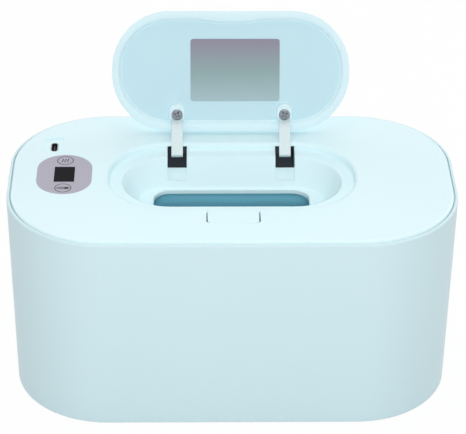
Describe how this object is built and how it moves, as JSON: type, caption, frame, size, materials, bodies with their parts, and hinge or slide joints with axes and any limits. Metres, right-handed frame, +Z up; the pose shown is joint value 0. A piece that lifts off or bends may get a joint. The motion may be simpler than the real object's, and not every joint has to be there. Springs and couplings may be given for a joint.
{
  "type": "baby wipe warmer",
  "caption": "Rounded baby wipe warmer: tub base, lift-off heated cover with touch controls, dispensing dish and a small sprung lid opened by a press button.",
  "frame": {"origin": "middle of the anti-slip ring's lower face, on the surface the warmer stands on", "axes": "+X to the right along the long side as the button's side is faced, +Y to the back, +Z up"},
  "size_m": [0.23, 0.1364, 0.1721],
  "materials": {
    "shell_white": "fine satin moulded ABS",
    "cover_white": "smooth moulded ABS",
    "lid_aqua": "smooth moulded ABS",
    "base_grey": "fine matt",
    "tub_teal": "satin moulded PP",
    "silicone": "matt",
    "pad_dark": "matt",
    "foam": "closed-cell foam",
    "steel_screw": "nickel plated",
    "pin_steel": "ground",
    "spring_steel": "drawn wire",
    "arm_steel": "bead blasted",
    "inlet_steel": "plated",
    "heater_aluminium": "rolled",
    "heater_film": "polyimide film",
    "component_black": "moulded",
    "board_green": "solder mask",
    "connector_white": "moulded",
    "lead_red": "insulated wire",
    "display_black": "polished acrylic",
    "overlay_lavender": "printed satin film",
    "label_satin": "satin film",
    "latch_grey": "moulded POM"
  },
  "bodies": {
    "base": {"body_shell": "shell_white", "base_plate": "base_grey", "anti_slip_ring": "silicone", "inner_tub": "tub_teal", "insulation_sleeve": "foam", "base_screws": "steel_screw"},
    "cover": {"top_panel": "cover_white", "cover_underplate": "tub_teal", "underplate_screws": "steel_screw", "tub_gasket": "silicone", "heater_plate": "heater_aluminium", "heater_film": "heater_film", "heater_screws": "steel_screw", "thermostat": "component_black", "temperature_sensor": "component_black", "control_board": "board_green", "board_screws": "steel_screw", "control_chip": "component_black", "lead_connector": "connector_white", "heater_leads": "lead_red", "display_module": "component_black", "display_lens": "display_black", "control_overlay": "overlay_lavender", "touch_springs": "spring_steel", "inlet_shell": "inlet_steel", "inlet_tongue": "component_black", "hinge_pin_left": "pin_steel", "hinge_pin_right": "pin_steel", "lid_spring_left": "spring_steel", "lid_spring_right": "spring_steel", "latch_spring": "spring_steel", "arm_pads": "pad_dark"},
    "lid": {"lid_shell": "lid_aqua", "lid_label": "label_satin", "hinge_arm_left": "arm_steel", "hinge_arm_right": "arm_steel", "arm_screws": "steel_screw"},
    "button": {"release_button": "cover_white"},
    "latch": {"latch_slider": "latch_grey"}
  },
  "joints": [
    {"name": "cover_lift", "type": "slide", "parent": "base", "child": "cover", "axis": [0, 0, 1], "range_m": [0, 0.06]},
    {"name": "lid_hinge", "type": "hinge", "parent": "cover", "child": "lid", "pos_m": [0, 0.0395, 0.1072], "axis": [1, 0, 0], "range_deg": [0, 112], "stiffness_Nm_per_rad": 0.008, "springref_deg": -20.05, "deforming": ["lid_spring_left", "lid_spring_right"]},
    {"name": "button_press", "type": "slide", "parent": "cover", "child": "button", "axis": [0, 0, -1], "range_m": [0, 0.0008], "stiffness_N_per_m": 600, "springref_m": -0.0006},
    {"name": "latch_slide", "type": "slide", "parent": "cover", "child": "latch", "axis": [0, -1, 0], "range_m": [0, 0.0008], "deforming": ["latch_spring"]}
  ],
  "couplings": [
    {"joint": "latch_slide", "follows": "button_press", "ratio": 1}
  ]
}
